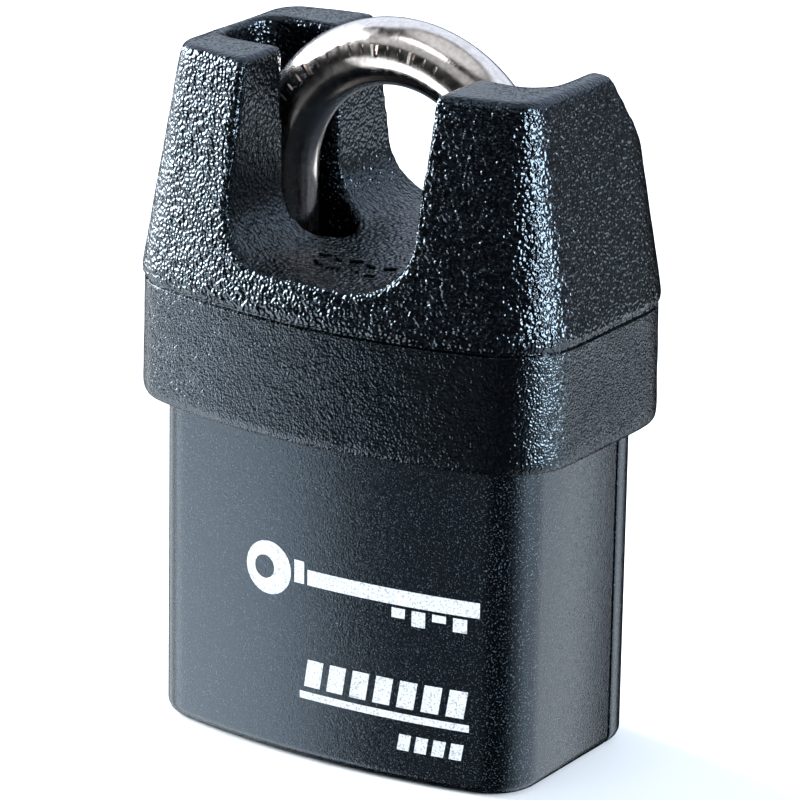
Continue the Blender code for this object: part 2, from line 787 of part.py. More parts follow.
def make_tailpiece():
    """Flat blade that carries the plug's turn up to the cam."""
    half_x, half_y = TAILPIECE_HALF
    low, high = TAILPIECE_Z
    return box("tailpiece", (-half_x, -half_y, low), (half_x, half_y, high), STEEL)


def cam_radius(angle):
    """Cam radius in one direction: the lobe circle, less the room each ball needs on its way out."""
    reach = CAM_R
    room = BALL_R + CAM_CLEARANCE
    steps = 45
    for i in range(steps + 1):
        distance = BALL_IN + BALL_TRAVEL * i / steps
        for side in (0, 180):
            offset = math.radians(angle - side + 90 * i / steps)
            aside = distance * math.sin(offset)
            if math.cos(offset) > 0 and abs(aside) < room:
                reach = min(reach, distance * math.cos(offset) - math.sqrt(room ** 2 - aside ** 2))
    return reach


def make_cam():
    """Cam with two scoops that face the balls while the plug is turned to open."""
    outline = []
    for i in range(72):
        angle = math.radians(i * 5)
        radius = cam_radius(i * 5)
        outline.append((radius * math.cos(angle), radius * math.sin(angle)))
    cam = plate("locking_cam", outline, [], CAM_Z[0], CAM_Z[1] - CAM_Z[0], STEEL)
    half_x, half_y = TAILPIECE_HALF
    slot = box(
        "cam_slot_cutter",
        (-half_x - GAP, -half_y - GAP, CAM_Z[0] - PAST),
        (half_x + GAP, half_y + GAP, TAILPIECE_Z[1] + GAP),
    )
    cut(cam, slot)
    return cam


def make_screw():
    """Retaining screw reached through the toe leg's hole."""
    low, high = SCREW_HEAD_Z
    profile = [
        (0, high),
        (SCREW_HEAD_R - SCREW_BEVEL, high),
        (SCREW_HEAD_R, high - SCREW_BEVEL),
        (SCREW_HEAD_R, low),
        (SCREW_R, low),
        (SCREW_R, SCREW_END_Z + SCREW_BEVEL),
        (SCREW_R - SCREW_BEVEL, SCREW_END_Z),
        (0, SCREW_END_Z),
    ]
    screw = turned("cylinder_screw", profile, 16, STEEL)
    screw.location = (LEG_X * MM, 0, 0)
    start = high - SOCKET_DEPTH
    cut(screw, round_bodies("socket_cutter", [(LEG_X, 0, start)], "Z", SOCKET_R, SOCKET_DEPTH + PAST, 6))
    return screw


# ---------------------------------------------------------------- assembly

clear_scene()
model = make_collection("padlock")
cutters = make_collection("padlock_cutters")

make_shroud()
make_cover("front_cover", True)
make_cover("rear_cover", False)
for plate_index in range(PLATES):
    make_lamination(plate_index)
make_bottom_plate()
make_retainer()
for rivet_number, (rivet_x, rivet_y, _) in enumerate(rivet_places(0), start=1):
    make_rivet(f"rivet_{rivet_number}", rivet_x, rivet_y)
make_shackle()
coil(
    "shackle_spring", (-LEG_X, 0, SPRING_Z), "Z", SHACKLE_SPRING_R, SHACKLE_SPRING_WIRE,
    HEEL_END_Z - SPRING_Z - GAP, SHACKLE_SPRING_TURNS, steps=12
)
ball("ball_heel", (-BALL_IN, 0, BALL_Z), BALL_R, SPRING_STEEL)
ball("ball_toe", (BALL_IN, 0, BALL_Z), BALL_R, SPRING_STEEL)
make_housing()
make_plug()
make_pins()
make_chamber_cover()
make_clip()
make_tailpiece()
make_cam()
make_screw()
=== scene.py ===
"""Looks for the shrouded padlock: finer shapes, materials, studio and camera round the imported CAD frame."""

import json
import math

import bmesh
import bpy
from mathutils import Matrix, Vector, noise


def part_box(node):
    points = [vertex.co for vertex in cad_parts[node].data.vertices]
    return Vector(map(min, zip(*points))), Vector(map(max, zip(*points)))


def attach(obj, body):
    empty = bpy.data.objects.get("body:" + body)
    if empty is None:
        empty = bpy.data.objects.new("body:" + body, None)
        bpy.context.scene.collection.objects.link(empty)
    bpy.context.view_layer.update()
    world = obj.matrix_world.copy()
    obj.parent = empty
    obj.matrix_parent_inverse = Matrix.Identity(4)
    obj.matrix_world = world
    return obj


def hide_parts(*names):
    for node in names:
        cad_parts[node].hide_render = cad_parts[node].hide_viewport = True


MM = 0.001

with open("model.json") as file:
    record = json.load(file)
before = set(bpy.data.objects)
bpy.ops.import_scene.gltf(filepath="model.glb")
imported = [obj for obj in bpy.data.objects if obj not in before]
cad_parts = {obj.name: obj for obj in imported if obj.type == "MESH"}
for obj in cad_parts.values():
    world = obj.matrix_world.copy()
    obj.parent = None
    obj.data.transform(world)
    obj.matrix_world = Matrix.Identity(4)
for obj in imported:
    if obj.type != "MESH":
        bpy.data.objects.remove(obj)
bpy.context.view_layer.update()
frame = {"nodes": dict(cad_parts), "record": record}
NODES = frame["nodes"]

# Camera, fitted to the outlines: degrees, metres in the CAD's own frame, and the lens in millimetres.
VIEW_AZIMUTH = 32.70
VIEW_ELEVATION = 18.32
VIEW_ROLL = 1.029
VIEW_DISTANCE = 0.61916
VIEW_TARGET = Vector((0.000245, 0.0, 0.040918))
LENS = 234.2

# Sizes repeated from the CAD part, in millimetres.
SHOULDER_Z = 55.45
FLOOR_Z = 60.2
COVER_BOW = 3.4
COVER_CORNER = 6.4
COVER_WALL = 1.3
COVER_LIP = 1.2
COVER_LIP_WIDTH = 3.0
SHACKLE_R = 4.0
BALL_R = 3.5
BALL_OUT_X = 10.5
TOE_END_Z = 42.0
LIFT = 19.0
GAP = 0.3

# Sizes read from the frame, in millimetres.
EAR_TOP_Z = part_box("shroud")[1].z / MM
FRONT_LOW, FRONT_HIGH = (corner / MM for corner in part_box("front_cover"))
REAR_LOW, REAR_HIGH = (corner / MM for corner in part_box("rear_cover"))
SHACKLE_LOW, SHACKLE_HIGH = (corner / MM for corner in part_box("shackle"))
BALL_LOW, BALL_HIGH = (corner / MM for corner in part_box("ball_toe"))
BALL_Z = (BALL_LOW.z + BALL_HIGH.z) / 2
LEG_X = SHACKLE_HIGH.x - SHACKLE_R
BOW_Z = SHACKLE_HIGH.z - SHACKLE_R - LEG_X


# ---------------------------------------------------------------- small helpers

def new_object(name, mesh):
    """Object linked into the scene."""
    made = bpy.data.objects.new(name, mesh)
    bpy.context.scene.collection.objects.link(made)
    return made


def mesh_object(name, shape):
    """Object from a bmesh, in millimetres until here."""
    bmesh.ops.scale(shape, vec=(MM, MM, MM), verts=shape.verts)
    bmesh.ops.recalc_face_normals(shape, faces=shape.faces)
    mesh = bpy.data.meshes.new(name)
    shape.to_mesh(mesh)
    shape.free()
    return new_object(name, mesh)


def evaluated_copy(source, name):
    """Mesh of an object with its modifiers applied, as a new object."""
    graph = bpy.context.evaluated_depsgraph_get()
    mesh = bpy.data.meshes.new_from_object(source.evaluated_get(graph), depsgraph=graph)
    mesh.name = name
    return new_object(name, mesh)


def apply_modifiers(made):
    """Replace an object's mesh by its evaluated one."""
    graph = bpy.context.evaluated_depsgraph_get()
    mesh = bpy.data.meshes.new_from_object(made.evaluated_get(graph), depsgraph=graph)
    made.modifiers.clear()
    made.data = mesh


def smooth_shading(made, angle):
    """Smooth a mesh, except across edges sharper than an angle in degrees."""
    made.data.shade_smooth()
    made.data.set_sharp_from_angle(angle=math.radians(angle))


def bevel(made, width, segments=3, angle=40):
    """Round an object's edges by a width in millimetres, for good."""
    modifier = made.modifiers.new("edges", "BEVEL")
    modifier.width = width * MM
    modifier.segments = segments
    modifier.limit_method = "ANGLE"
    modifier.angle_limit = math.radians(angle)
    apply_modifiers(made)


def subtract(target, tool):
    """Cut one object out of another, for good."""
    modifier = target.modifiers.new("cut", "BOOLEAN")
    modifier.operation = "DIFFERENCE"
    modifier.solver = "EXACT"
    modifier.object = tool
    apply_modifiers(target)
    bpy.data.objects.remove(tool, do_unlink=True)


def weld(made, distance):
    """Join points closer than a distance in millimetres, and drop the slivers that this leaves."""
    shape = bmesh.new()
    shape.from_mesh(made.data)
    bmesh.ops.remove_doubles(shape, verts=shape.verts, dist=distance * MM)
    bmesh.ops.dissolve_degenerate(shape, edges=shape.edges, dist=distance * MM)
    shape.to_mesh(made.data)
    shape.free()


def set_material(made, material):
    made.data.materials.clear()
    made.data.materials.append(material)


def finish_piece(made, material, body, slot, *nodes):
    """Give a piece its material and its body, and hide the CAD nodes it stands for. The slot argument is not
    used.
    """
    set_material(made, material)
    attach(made, body)
    if nodes:
        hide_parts(*nodes)


def arc(cx, cy, radius, start, end, steps):
    """Points on an arc, angles in degrees, both ends included."""
    points = []
    for i in range(steps + 1):
        angle = math.radians(start + (end - start) * i / steps)
        points.append((cx + radius * math.cos(angle), cy + radius * math.sin(angle)))
    return points


# ---------------------------------------------------------------- material building blocks

class Look:
    """Short way to wire a Principled material's node tree."""

    def __init__(self, name, colour, roughness, metallic=0.0):
        self.material = bpy.data.materials.new(name)
        self.material.use_nodes = True
        self.tree = self.material.node_tree
        self.shader = self.tree.nodes["Principled BSDF"]
        self.shader.inputs["Base Color"].default_value = (*colour, 1.0)
        self.shader.inputs["Roughness"].default_value = roughness
        self.shader.inputs["Metallic"].default_value = metallic
        self.place = self.tree.nodes.new("ShaderNodeTexCoord").outputs["Object"]

    def node(self, kind, **settings):
        made = self.tree.nodes.new(kind)
        for key, value in settings.items():
            setattr(made, key, value)
        return made

    def link(self, source, target):
        self.tree.links.new(source, target)

    def scaled(self, stretch):
        """The object's own coordinates, scaled per axis, or as they are."""
        if stretch is None:
            return self.place
        mapping = self.node("ShaderNodeMapping")
        mapping.inputs["Scale"].default_value = stretch
        self.link(self.place, mapping.inputs["Vector"])
        return mapping.outputs["Vector"]

    def noise(self, size, detail=2.0, rough=0.5, stretch=None):
        """Noise whose features are about size millimetres across."""
        made = self.node("ShaderNodeTexNoise")
        made.inputs["Scale"].default_value = 1.0 / (size * MM)
        made.inputs["Detail"].default_value = detail
        made.inputs["Roughness"].default_value = rough
        self.link(self.scaled(stretch), made.inputs["Vector"])
        return made.outputs["Fac"]

    def axis(self, name):
        """One of the object's own coordinates, in metres."""
        split = self.node("ShaderNodeSeparateXYZ")
        self.link(self.place, split.inputs["Vector"])
        return split.outputs[name]

    def facing(self, name):
        """How squarely the surface faces along one axis, either way, 0 to 1."""
        split = self.node("ShaderNodeSeparateXYZ")
        self.link(self.node("ShaderNodeTexCoord").outputs["Normal"], split.inputs["Vector"])
        return self.math("ABSOLUTE", split.outputs[name], 0.0)

    def cells(self, size, smoothness):
        """Rounded cells about size millimetres across, 0 at their centres."""
        made = self.node("ShaderNodeTexVoronoi", feature="SMOOTH_F1")
        made.inputs["Scale"].default_value = 1.0 / (size * MM)
        made.inputs["Smoothness"].default_value = smoothness
        self.link(self.place, made.inputs["Vector"])
        return made.outputs["Distance"]

    def ramp(self, source, low, high, start=0.0, end=1.0):
        """Map source from low..high to start..end, clamped."""
        made = self.node("ShaderNodeMapRange")
        made.inputs["From Min"].default_value = low
        made.inputs["From Max"].default_value = high
        made.inputs["To Min"].default_value = start
        made.inputs["To Max"].default_value = end
        self.link(source, made.inputs["Value"])
        return made.outputs["Result"]

    def math(self, operation, first, second):
        """One sum on two numbers or outputs."""
        made = self.node("ShaderNodeMath", operation=operation)
        for socket, value in zip(made.inputs, (first, second)):
            if isinstance(value, (int, float)):
                socket.default_value = value
            else:
                self.link(value, socket)
        return made.outputs["Value"]

    def blend(self, factor, first, second):
        """Colour between two colours or colour outputs."""
        made = self.node("ShaderNodeMix", data_type="RGBA")
        self.link(factor, made.inputs["Factor"])
        for name, value in (("A", first), ("B", second)):
            socket = next(s for s in made.inputs if s.name == name and s.type == "RGBA")
            if isinstance(value, tuple):
                socket.default_value = (*value, 1.0)
            else:
                self.link(value, socket)
        return next(s for s in made.outputs if s.type == "RGBA")

    def bump(self, height, distance, under=None):
        """Normal tilted by a height pattern whose full step is distance millimetres."""
        made = self.node("ShaderNodeBump")
        made.inputs["Strength"].default_value = 1.0
        made.inputs["Distance"].default_value = distance * MM
        self.link(height, made.inputs["Height"])
        if under is not None:
            self.link(under, made.inputs["Normal"])
        return made.outputs["Normal"]

    def set(self, **sockets):
        """Wire patterns into the shader and hand back the material."""
        names = {"colour": "Base Color", "roughness": "Roughness", "normal": "Normal"}
        for key, source in sockets.items():
            self.link(source, self.shader.inputs[names[key]])
        return self.material


# Tint of the black paint's and the moulding's own shine.
COOL_SHEEN = (0.66, 0.84, 1.0, 1.0)


def cast_paint():
    """Glossy black enamel on a pebbled casting: coarse on the ears' fronts, low on their sides and top."""
    band_share, top_share, side_share, band_grain = 0.24, 0.3, 0.6, 0.6
    m = Look("cast_paint", (0.001, 0.0012, 0.0018), 0.12)
    m.shader.inputs["Specular Tint"].default_value = COOL_SHEEN
    pebbles = m.math("MULTIPLY", m.cells(0.5, 0.4), -1.1)
    grain = m.math("MULTIPLY", m.noise(0.38, 0.0), 1.2)
    swell = m.math("MULTIPLY", m.noise(0.95, 0.0), 0.9)
    height = m.math("ADD", m.math("ADD", pebbles, grain), swell)
    z = m.axis("Z")
    on_ears = m.ramp(z, (SHOULDER_Z - 0.6) * MM, (SHOULDER_Z + 0.2) * MM, band_share, 1.0)
    below_top = m.ramp(z, (EAR_TOP_Z - 0.9) * MM, (EAR_TOP_Z - 0.2) * MM, 1.0, top_share)
    off_sides = m.ramp(m.facing("X"), 0.8, 0.95, 1.0, side_share)
    on_band = m.ramp(on_ears, band_share, 1.0, 1.0, 0.0)
    height = m.math("MULTIPLY", height, m.math("MULTIPLY", on_ears, below_top))
    height = m.math("MULTIPLY", height, m.math("MAXIMUM", off_sides, on_band))
    fine = m.math("MULTIPLY", m.noise(0.22, 0.0), m.math("MULTIPLY", on_band, band_grain))
    normal = m.bump(m.math("ADD", height, fine), 0.138)
    speck = m.ramp(m.noise(0.3, 2.0, 0.6), 0.6, 0.7)
    colour = m.blend(speck, (0.0008, 0.001, 0.0015), (0.006, 0.007, 0.009))
    rough = m.ramp(m.noise(2.0), 0.3, 0.7, 0.1, 0.15)
    return m.set(colour=colour, roughness=rough, normal=normal)


def moulded_cover():
    """Satin black moulding with a very fine sparkling grain."""
    m = Look("moulded_cover", (0.004, 0.005, 0.007), 0.24)
    m.shader.inputs["Specular Tint"].default_value = COOL_SHEEN
    height = m.math("ADD", m.noise(0.2, 1.0, 0.5), m.math("MULTIPLY", m.noise(0.45, 1.0), 0.5))
    normal = m.bump(height, 0.036)
    speck = m.ramp(m.noise(0.19, 1.0, 0.6), 0.6, 0.72)
    colour = m.blend(speck, (0.001, 0.0014, 0.002), (0.055, 0.067, 0.083))
    rough = m.ramp(m.noise(0.3, 1.0), 0.35, 0.65, 0.11, 0.17)
    return m.set(colour=colour, roughness=rough, normal=normal)


def polished_shackle():
    """Nickel-bright bar with faint marks across it, left by polishing, and fine specks."""
    bright, dull = (0.88, 0.79, 0.73), (0.7, 0.62, 0.57)
    m = Look("polished_shackle", bright, 0.12, 1.0)
    above = m.math("SUBTRACT", m.axis("Z"), BOW_Z * MM)
    along = m.math("MULTIPLY", m.math("ARCTAN2", above, m.axis("X")), LEG_X * MM)
    join = m.node("ShaderNodeCombineXYZ")
    m.link(along, join.inputs["X"])
    m.link(m.math("MULTIPLY", m.axis("Y"), 0.12), join.inputs["Y"])
    across = m.node("ShaderNodeTexNoise")
    across.inputs["Scale"].default_value = 1 / (0.22 * MM)
    m.link(join.outputs["Vector"], across.inputs["Vector"])
    streaks = m.bump(across.outputs["Fac"], 0.006)
    normal = m.bump(m.noise(0.35, 3.0, 0.6), 0.006, under=streaks)
    rough = m.ramp(m.noise(1.2, 3.0), 0.3, 0.75, 0.12, 0.26)
    colour = m.blend(m.ramp(m.noise(0.7, 3.0), 0.35, 0.7), bright, dull)
    return m.set(colour=colour, roughness=rough, normal=normal)


def metal(name, light, dark, roughness, size, lines=None):
    """Plain worked metal: mottled colour, uneven gloss and fine tool marks."""
    m = Look(name, light, roughness, 1.0)
    marks = m.noise(size, 3.0, 0.6, lines)
    normal = m.bump(marks, 0.002)
    colour = m.blend(m.noise(size * 8, 4.0, 0.6), light, dark)
    rough = m.ramp(m.noise(size * 3), 0.3, 0.7, roughness * 0.75, roughness * 1.3)
    return m.set(colour=colour, roughness=rough, normal=normal)


def printed_ink():
    """White pad-printed ink, thin enough to follow the grain under it."""
    m = Look("printed_ink", (0.7, 0.71, 0.72), 0.5)
    normal = m.bump(m.noise(0.3, 2.0, 0.6), 0.02)
    colour = m.blend(m.ramp(m.noise(0.25, 2.0), 0.35, 0.5), (0.35, 0.37, 0.4), (0.74, 0.75, 0.76))
    return m.set(colour=colour, normal=normal)


# ---------------------------------------------------------------- shroud

def cast_shroud(material):
    """The CAD cap with its edges rounded as cast: the ears overhang the band with a rolled edge."""
    dip, reach_up = 0.25, 1.2
    wave_size, wave_depth = 3.2, 0.05
    ears = casting_part("ears", SHOULDER_Z - dip, EAR_TOP_Z + 1)
    band = casting_part("band", 0, SHOULDER_Z - 2 * dip)
    raise_top(band, reach_up)
    for part in (ears, band):
        round_off(part)
        uneven(part, wave_size, wave_depth)
    modifier = ears.modifiers.new("join", "BOOLEAN")
    modifier.operation = "UNION"
    modifier.solver = "EXACT"
    modifier.object = band
    apply_modifiers(ears)
    bpy.data.objects.remove(band, do_unlink=True)
    subtract(ears, crease_ring())
    weld(ears, 0.02)
    ears.name = "shroud_casting"
    smooth_shading(ears, 50)
    finish_piece(ears, material, "lock_body", "shroud_paint", "shroud")


# Width and depth of the block that the crease's ring is cut from: anything larger than the cap.
RING_BLANK = (80, 60)


def crease_ring():
    """Ring tool for the dark line under the ears: all that is outside the shoulder, less its depth."""
    low_z, high_z, depth = SHOULDER_Z - 0.6, SHOULDER_Z - 0.22, 0.5
    plate = casting_part("crease_core", low_z - 0.5, high_z + 0.3)
    half_x, half_y = (0.5 * plate.dimensions[axis] / MM for axis in (0, 1))
    core = bmesh.new()
    core.from_mesh(plate.data)
    hull = bmesh.ops.convex_hull(core, input=core.verts)
    left_over = set(hull["geom_interior"] + hull["geom_unused"])
    inside = [v for v in left_over if isinstance(v, bmesh.types.BMVert)]
    bmesh.ops.delete(core, geom=inside, context="VERTS")
    bmesh.ops.scale(core, vec=(1 - depth / half_x, 1 - depth / half_y, 1), verts=core.verts)
    core.to_mesh(plate.data)
    core.free()
    ring_shape = bmesh.new()
    bmesh.ops.create_cube(ring_shape, size=1.0)
    bmesh.ops.scale(ring_shape, vec=(*RING_BLANK, high_z - low_z), verts=ring_shape.verts)
    bmesh.ops.translate(ring_shape, vec=(0, 0, 0.5 * (low_z + high_z)), verts=ring_shape.verts)
    ring = mesh_object("crease_ring", ring_shape)
    subtract(ring, plate)
    return ring


def casting_part(name, low_z, high_z):
    """The slice of the CAD cap between two heights, closed."""
    made = evaluated_copy(NODES["shroud"], name)
    shape = bmesh.new()
    shape.from_mesh(made.data)
    bmesh.ops.remove_doubles(shape, verts=shape.verts, dist=0.00001)
    for height, up in ((low_z, -1), (high_z, 1)):
        found = bmesh.ops.bisect_plane(
            shape, geom=shape.verts[:] + shape.edges[:] + shape.faces[:], dist=1e-7,
            plane_co=(0, 0, height * MM), plane_no=(0, 0, up), clear_outer=True,
        )
        cut_edges = [e for e in found["geom_cut"] if isinstance(e, bmesh.types.BMEdge)]
        bmesh.ops.holes_fill(shape, edges=cut_edges, sides=0)
    bmesh.ops.triangulate(shape, faces=shape.faces)
    shape.to_mesh(made.data)
    shape.free()
    return made


def raise_top(made, amount):
    """Lift a slice's flat top, so that it reaches into the part above."""
    top = max(v.co.z for v in made.data.vertices)
    for vertex in made.data.vertices:
        if top - vertex.co.z < 0.01 * MM:
            vertex.co.z += amount * MM


def round_off(made):
    """Rebuild a part in small even faces and smooth them, which rounds every edge."""
    face_size = 0.42
    remesh = made.modifiers.new("skin", "REMESH")
    remesh.mode = "VOXEL"
    remesh.voxel_size = face_size * MM
    smooth = made.modifiers.new("round", "SMOOTH")
    smooth.factor = 0.5
    smooth.iterations = 12
    apply_modifiers(made)


def uneven(made, size, depth):
    """Move a mesh's points in and out by a slow noise, both in millimetres."""
    moves = []
    for vertex in made.data.vertices:
        moves.append(vertex.normal * noise.noise(vertex.co / (size * MM)) * depth * MM)
    for vertex, move in zip(made.data.vertices, moves):
        vertex.co += move


def cast_marks(material):
    """Short raised ridges left by the mould on the channel's floor: x, y, turn and length of each."""
    ridges = (
        (-4.6, -9.0, 20, 1.6), (-2.4, -9.6, -35, 1.3), (-0.2, -9.1, 25, 1.7), (2.2, -9.8, -20, 1.4),
        (4.6, -9.4, 30, 1.6), (-3.6, -12.2, -25, 1.5), (-1.0, -12.9, 15, 1.8), (1.6, -12.4, -30, 1.4),
        (4.0, -13.0, 10, 1.6),
    )
    width, height = 0.45, 0.7
    shape = bmesh.new()
    for x, y, turn, length in ridges:
        ridge = bmesh.ops.create_cube(shape, size=1.0)["verts"]
        placed = Matrix.Translation((x, y, FLOOR_Z)) @ Matrix.Rotation(math.radians(turn), 4, "Z")
        bmesh.ops.transform(shape, matrix=placed @ Matrix.Diagonal((length, width, height, 1)), verts=ridge)
    made = mesh_object("floor_cast_marks", shape)
    bevel(made, 0.16)
    smooth_shading(made, 60)
    finish_piece(made, material, "lock_body", "shroud_paint")


# ---------------------------------------------------------------- covers

# How far the front half stops short of the CAD's, which widens the seam's line.
SEAM_SHY = 0.08


def front_radius():
    """Radius of the cover's bowed front, from its width and the height of its bow."""
    return (FRONT_HIGH.x ** 2 + COVER_BOW ** 2) / (2 * COVER_BOW)


def cover_path(amount, seam_y, front_steps=28, corner_steps=14):
    """Half of the cover's outline, moved in by an amount, from seam to seam round the front."""
    half_w = FRONT_HIGH.x - amount
    half_d = -FRONT_LOW.y - amount
    radius = front_radius() - amount
    corner = COVER_CORNER - amount
    centre_y = radius - half_d
    corner_x = half_w - corner
    corner_y = centre_y - math.sqrt((radius - corner) ** 2 - corner_x ** 2)
    turn = math.degrees(math.atan2(corner_x, centre_y - corner_y))
    right = arc(0, centre_y, radius, -90, -90 + turn, front_steps)
    right += arc(corner_x, corner_y, corner, -90 + turn, 0, corner_steps)[1:]
    right += [(half_w, seam_y)]
    left = [(-x, y) for x, y in reversed(right)]
    return left + right[1:]


def cover_section(top_z):
    """(height, inset) points round the wall's section: rounded foot, wall, rim, inside, lip."""
    foot, rim = 1.5, 0.25
    steps = 5
    section = []
    for i in range(steps + 1):
        angle = math.radians(90 * i / steps)
        section.append((foot - foot * math.cos(angle), foot - foot * math.sin(angle)))
    return [
        *section,
        (top_z - rim, 0.0),
        (top_z, rim),
        (top_z, COVER_WALL - rim),
        (top_z - rim, COVER_WALL),
        (COVER_LIP, COVER_WALL),
        (COVER_LIP, COVER_WALL + COVER_LIP_WIDTH - rim),
        (COVER_LIP - rim, COVER_WALL + COVER_LIP_WIDTH),
        (rim, COVER_WALL + COVER_LIP_WIDTH),
        (0.0, COVER_WALL + COVER_LIP_WIDTH - rim),
    ]


def moulded_half(name, seam_y, top_z, mirror):
    """Half of the cover: its wall section swept round half the outline. mirror makes the back half."""
    shape = bmesh.new()
    rings = []
    for height, amount in cover_section(top_z):
        path = cover_path(amount, seam_y)
        side = -1 if mirror else 1
        rings.append([shape.verts.new((x, side * y, height)) for x, y in path])
    for low, high in zip(rings, rings[1:] + rings[:1]):
        for i in range(len(low) - 1):
            shape.faces.new((low[i], low[i + 1], high[i + 1], high[i]))
    shape.faces.new([ring[0] for ring in rings])
    shape.faces.new([ring[-1] for ring in rings])
    made = mesh_object(name, shape)
    bevel(made, 0.15, 2, 60)
    smooth_shading(made, 30)
    return made


def seam_tongue(name, side):
    """Strip inside the rear half that laps behind the front half's edge, so that no light passes."""
    thickness, lap, into_wall = 0.5, 2.4, 0.3
    seam = 0.5 * (FRONT_HIGH.y + REAR_LOW.y)
    low_z, high_z = FRONT_LOW.z + 2.0, FRONT_HIGH.z - 1.0
    middle = (side * (FRONT_HIGH.x - COVER_WALL + into_wall), seam, 0.5 * (low_z + high_z))
    shape = bmesh.new()
    bmesh.ops.create_cube(shape, size=1.0)
    bmesh.ops.scale(shape, vec=(thickness, lap, high_z - low_z), verts=shape.verts)
    bmesh.ops.translate(shape, vec=middle, verts=shape.verts)
    made = mesh_object(name, shape)
    bevel(made, 0.15, 2, 60)
    smooth_shading(made, 30)
    return made


# ---------------------------------------------------------------- print on the front

def front_face_y(x):
    """Where the cover's bowed front lies, in millimetres."""
    radius = front_radius()
    return FRONT_LOW.y + radius - math.sqrt(radius ** 2 - x ** 2)


def printed_shape(shape, outline, holes=()):
    """Add a flat printed shape to a bmesh, from outlines in (x, z)."""
    curve = bpy.data.curves.new("print", "CURVE")
    curve.dimensions = "2D"
    curve.fill_mode = "BOTH"
    curve.extrude = 0.03
    for points in [outline, *holes]:
        spline = curve.splines.new("POLY")
        spline.points.add(len(points) - 1)
        for point, (x, z) in zip(spline.points, points):
            point.co = (x, z, 0, 1)
        spline.use_cyclic_u = True
    source = new_object("print", curve)
    graph = bpy.context.evaluated_depsgraph_get()
    mesh = bpy.data.meshes.new_from_object(source.evaluated_get(graph))
    bpy.data.objects.remove(source, do_unlink=True)
    shape.from_mesh(mesh)


def rectangle(low_x, low_z, high_x, high_z, slant=0.0):
    """Four corners in (x, z), the upper two moved along by a slant."""
    return [(low_x, low_z), (high_x, low_z), (high_x + slant, high_z), (low_x + slant, high_z)]


def circle(x, z, radius):
    """Points round a circle in (x, z)."""
    steps = 40
    return arc(x, z, radius, 0, 360 - 360 / steps, steps - 1)


def follow_front(shape):
    """Cut a flat printed shape at every millimetre and lay it just off the cover's bowed front."""
    ink_clearance = 0.02
    for step in range(-11, 23):
        bmesh.ops.bisect_plane(
            shape, geom=shape.verts[:] + shape.edges[:] + shape.faces[:], dist=1e-5,
            plane_co=(step, 0, 0), plane_no=(1, 0, 0),
        )
    for vertex in shape.verts:
        x, z, out = vertex.co
        vertex.co = (x, front_face_y(x) - ink_clearance - out, z)


def front_print(material):
    """Plain white key sign with a ruled bar and four marks under it, in place of any lettering."""
    head_x, head_r, hole_r = -7.0, 3.3, 1.45
    key_low, key_high, key_end = 22.25, 24.15, 21.2
    key_z = 0.5 * (key_low + key_high)
    collar_x = head_x + head_r + 0.5
    blade_x = head_x + head_r + 2.4
    tooth_width, tooth_gap = 1.7, 0.4
    rule_low, rule_high = 7.9, 8.8
    block_low, block_high, block_width = 9.5, 12.9, 2.2
    mark_low, mark_high, mark_width = 4.2, 6.2, 1.5
    shape = bmesh.new()
    printed_shape(shape, circle(head_x, key_z, head_r), [circle(head_x - 0.6, key_z, hole_r)])
    printed_shape(shape, rectangle(collar_x, key_low, collar_x + 1.4, key_high + 0.9))
    printed_shape(shape, rectangle(blade_x, key_low, key_end, key_high))
    for x, depth in ((10.2, 1.6), (12.8, 2.3), (15.4, 1.3), (18.0, 2.1)):
        printed_shape(shape, rectangle(x, key_low - depth, x + tooth_width, key_low - tooth_gap))
    printed_shape(shape, rectangle(-2.2, rule_low, 20.2, rule_high))
    for i in range(7):
        x = -1.6 + 3.15 * i
        printed_shape(shape, rectangle(x, block_low, x + block_width, block_high, 0.5))
    for i in range(4):
        x = 11.2 + 2.2 * i
        printed_shape(shape, rectangle(x, mark_low, x + mark_width, mark_high, 0.3))
    bmesh.ops.remove_doubles(shape, verts=shape.verts, dist=0.0005)
    follow_front(shape)
    made = mesh_object("front_print", shape)
    set_material(made, material)
    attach(made, "lock_body")


# ---------------------------------------------------------------- shackle

BAR_SIDES = 48


def round_bar(name, points, radius, sides):
    """Closed bar along points that lie in the XZ plane."""
    shape = bmesh.new()
    rings = []
    for i, (x, z) in enumerate(points):
        ahead = points[min(i + 1, len(points) - 1)]
        behind = points[max(i - 1, 0)]
        along = Vector((ahead[0] - behind[0], 0, ahead[1] - behind[1])).normalized()
        across = Vector((along.z, 0, -along.x))
        ring = []
        for j in range(sides):
            angle = 2 * math.pi * j / sides
            offset = across * math.cos(angle) * radius + Vector((0, math.sin(angle) * radius, 0))
            ring.append(shape.verts.new(Vector((x, 0, z)) + offset))
        rings.append(ring)
    for low, high in zip(rings, rings[1:]):
        for j in range(sides):
            k = (j + 1) % sides
            shape.faces.new((low[j], low[k], high[k], high[j]))
    shape.faces.new(rings[0])
    shape.faces.new(rings[-1])
    return mesh_object(name, shape)


def ball_tool(x, z):
    """Ball with its clearance, to cut a leg's notch."""
    shape = bmesh.new()
    bmesh.ops.create_uvsphere(shape, u_segments=40, v_segments=24, radius=BALL_R + GAP)
    bmesh.ops.translate(shape, vec=(x, 0, z), verts=shape.verts)
    return mesh_object("ball_tool", shape)


def box_tool(matrix, size):
    """Block of a size, placed by a matrix."""
    shape = bmesh.new()
    verts = bmesh.ops.create_cube(shape, size=1.0)["verts"]
    bmesh.ops.transform(shape, matrix=matrix @ Matrix.Diagonal((*size, 1)), verts=verts)
    return mesh_object("box_tool", shape)


